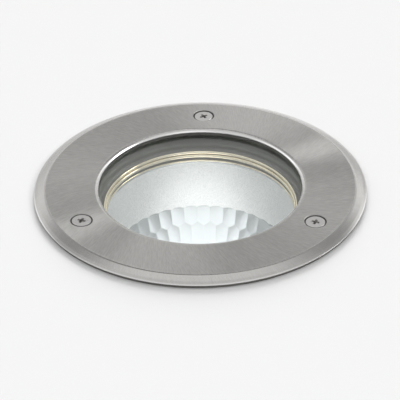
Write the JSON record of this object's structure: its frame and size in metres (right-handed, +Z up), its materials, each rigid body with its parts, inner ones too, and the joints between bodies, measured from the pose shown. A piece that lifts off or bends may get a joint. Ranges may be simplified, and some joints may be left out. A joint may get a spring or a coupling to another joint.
{
  "type": "recessed spotlight",
  "caption": "Round in-ground spotlight: bevelled steel trim ring over clear glass, faceted reflector with a screw-in lamp, and a finned buried housing with a cable gland.",
  "frame": {"origin": "centre of the trim ring at the ground that its seal lies on", "axes": "+Z up, out of the ground along the light's axis; +Y towards the back screw"},
  "size_m": [0.2, 0.2, 0.1823],
  "materials": {
    "brushed_steel": "radially brushed stainless steel",
    "screw_steel": "stainless steel, lightly tumbled",
    "black_rubber": "matte",
    "clear_glass": "clear toughened glass",
    "cast_housing": "dark grey powder coat over cast aluminium",
    "brass": "bare brass",
    "reflector_aluminium": "satin upper wall, bright facets",
    "gold_ring": "gold-coloured plating, bright",
    "opal_globe": "opal white",
    "white_plastic": "moulded",
    "board": "white coated metal board",
    "nickel": "nickel plate",
    "black_plastic": "moulded",
    "porcelain": "glazed porcelain",
    "zinc_steel": "bright zinc plate",
    "brown_insulation": "silicone insulation",
    "blue_insulation": "silicone insulation",
    "green_insulation": "green and yellow insulation"
  },
  "bodies": {
    "housing": {"housing": "cast_housing", "thread_inserts": "brass", "flange_gasket": "black_rubber", "reflector": "reflector_aluminium", "retaining_ring": "gold_ring", "lampholder_body": "porcelain", "lampholder_shell": "nickel", "lampholder_contact": "brass", "lampholder_bracket": "zinc_steel", "holder_screws": "zinc_steel", "bracket_screws": "zinc_steel", "terminal_block": "white_plastic", "terminal_tubes": "brass", "terminal_screws": "zinc_steel", "block_screws": "zinc_steel", "live_lead": "brown_insulation", "neutral_lead": "blue_insulation", "earth_lead": "green_insulation", "earth_tag": "nickel", "earth_screw": "zinc_steel", "gland_body": "black_plastic", "gland_washer": "black_rubber", "gland_locknut": "black_plastic", "gland_seal": "black_rubber", "gland_nut": "black_plastic"},
    "trim": {"trim_ring": "brushed_steel", "ground_seal": "black_rubber", "screw_seals": "black_rubber"},
    "screw_back": {"trim_screw_back": "screw_steel"},
    "screw_left": {"trim_screw_left": "screw_steel"},
    "screw_right": {"trim_screw_right": "screw_steel"},
    "glass": {"cover_glass": "clear_glass", "glass_gasket": "black_rubber"},
    "lamp_carrier": {"lamp_contact": "brass"},
    "lamp": {"lamp_bulb": "opal_globe", "lamp_base": "white_plastic", "led_board": "board", "lamp_cap": "nickel", "lamp_insulator": "black_plastic"}
  },
  "joints": [
    {"name": "trim_lift", "type": "slide", "parent": "housing", "child": "trim", "axis": [0, 0, 1], "range_m": [0, 0.07]},
    {"name": "glass_lift", "type": "slide", "parent": "housing", "child": "glass", "axis": [0, 0, 1], "range_m": [0, 0.035]},
    {"name": "screw_back_turn", "type": "hinge", "parent": "trim", "child": "screw_back", "pos_m": [0, 0.079, 0], "axis": [0, 0, 1], "continuous": true},
    {"name": "screw_left_turn", "type": "hinge", "parent": "trim", "child": "screw_left", "pos_m": [-0.06842, -0.0395, 0], "axis": [0, 0, 1], "continuous": true},
    {"name": "screw_right_turn", "type": "hinge", "parent": "trim", "child": "screw_right", "pos_m": [0.06842, -0.0395, 0], "axis": [0, 0, 1], "continuous": true},
    {"name": "lamp_turn", "type": "hinge", "parent": "lamp_carrier", "child": "lamp", "pos_m": [0, 0, -0.1], "axis": [0, 0, 1], "range_deg": [0, 2340]},
    {"name": "lamp_rise", "type": "slide", "parent": "housing", "child": "lamp_carrier", "axis": [0, 0, 1], "range_m": [0, 0.0236]}
  ],
  "couplings": [
    {"joint": "glass_lift", "follows": "trim_lift", "ratio": 0.5},
    {"joint": "lamp_rise", "follows": "lamp_turn", "m_per_rad": 0.0005775}
  ]
}
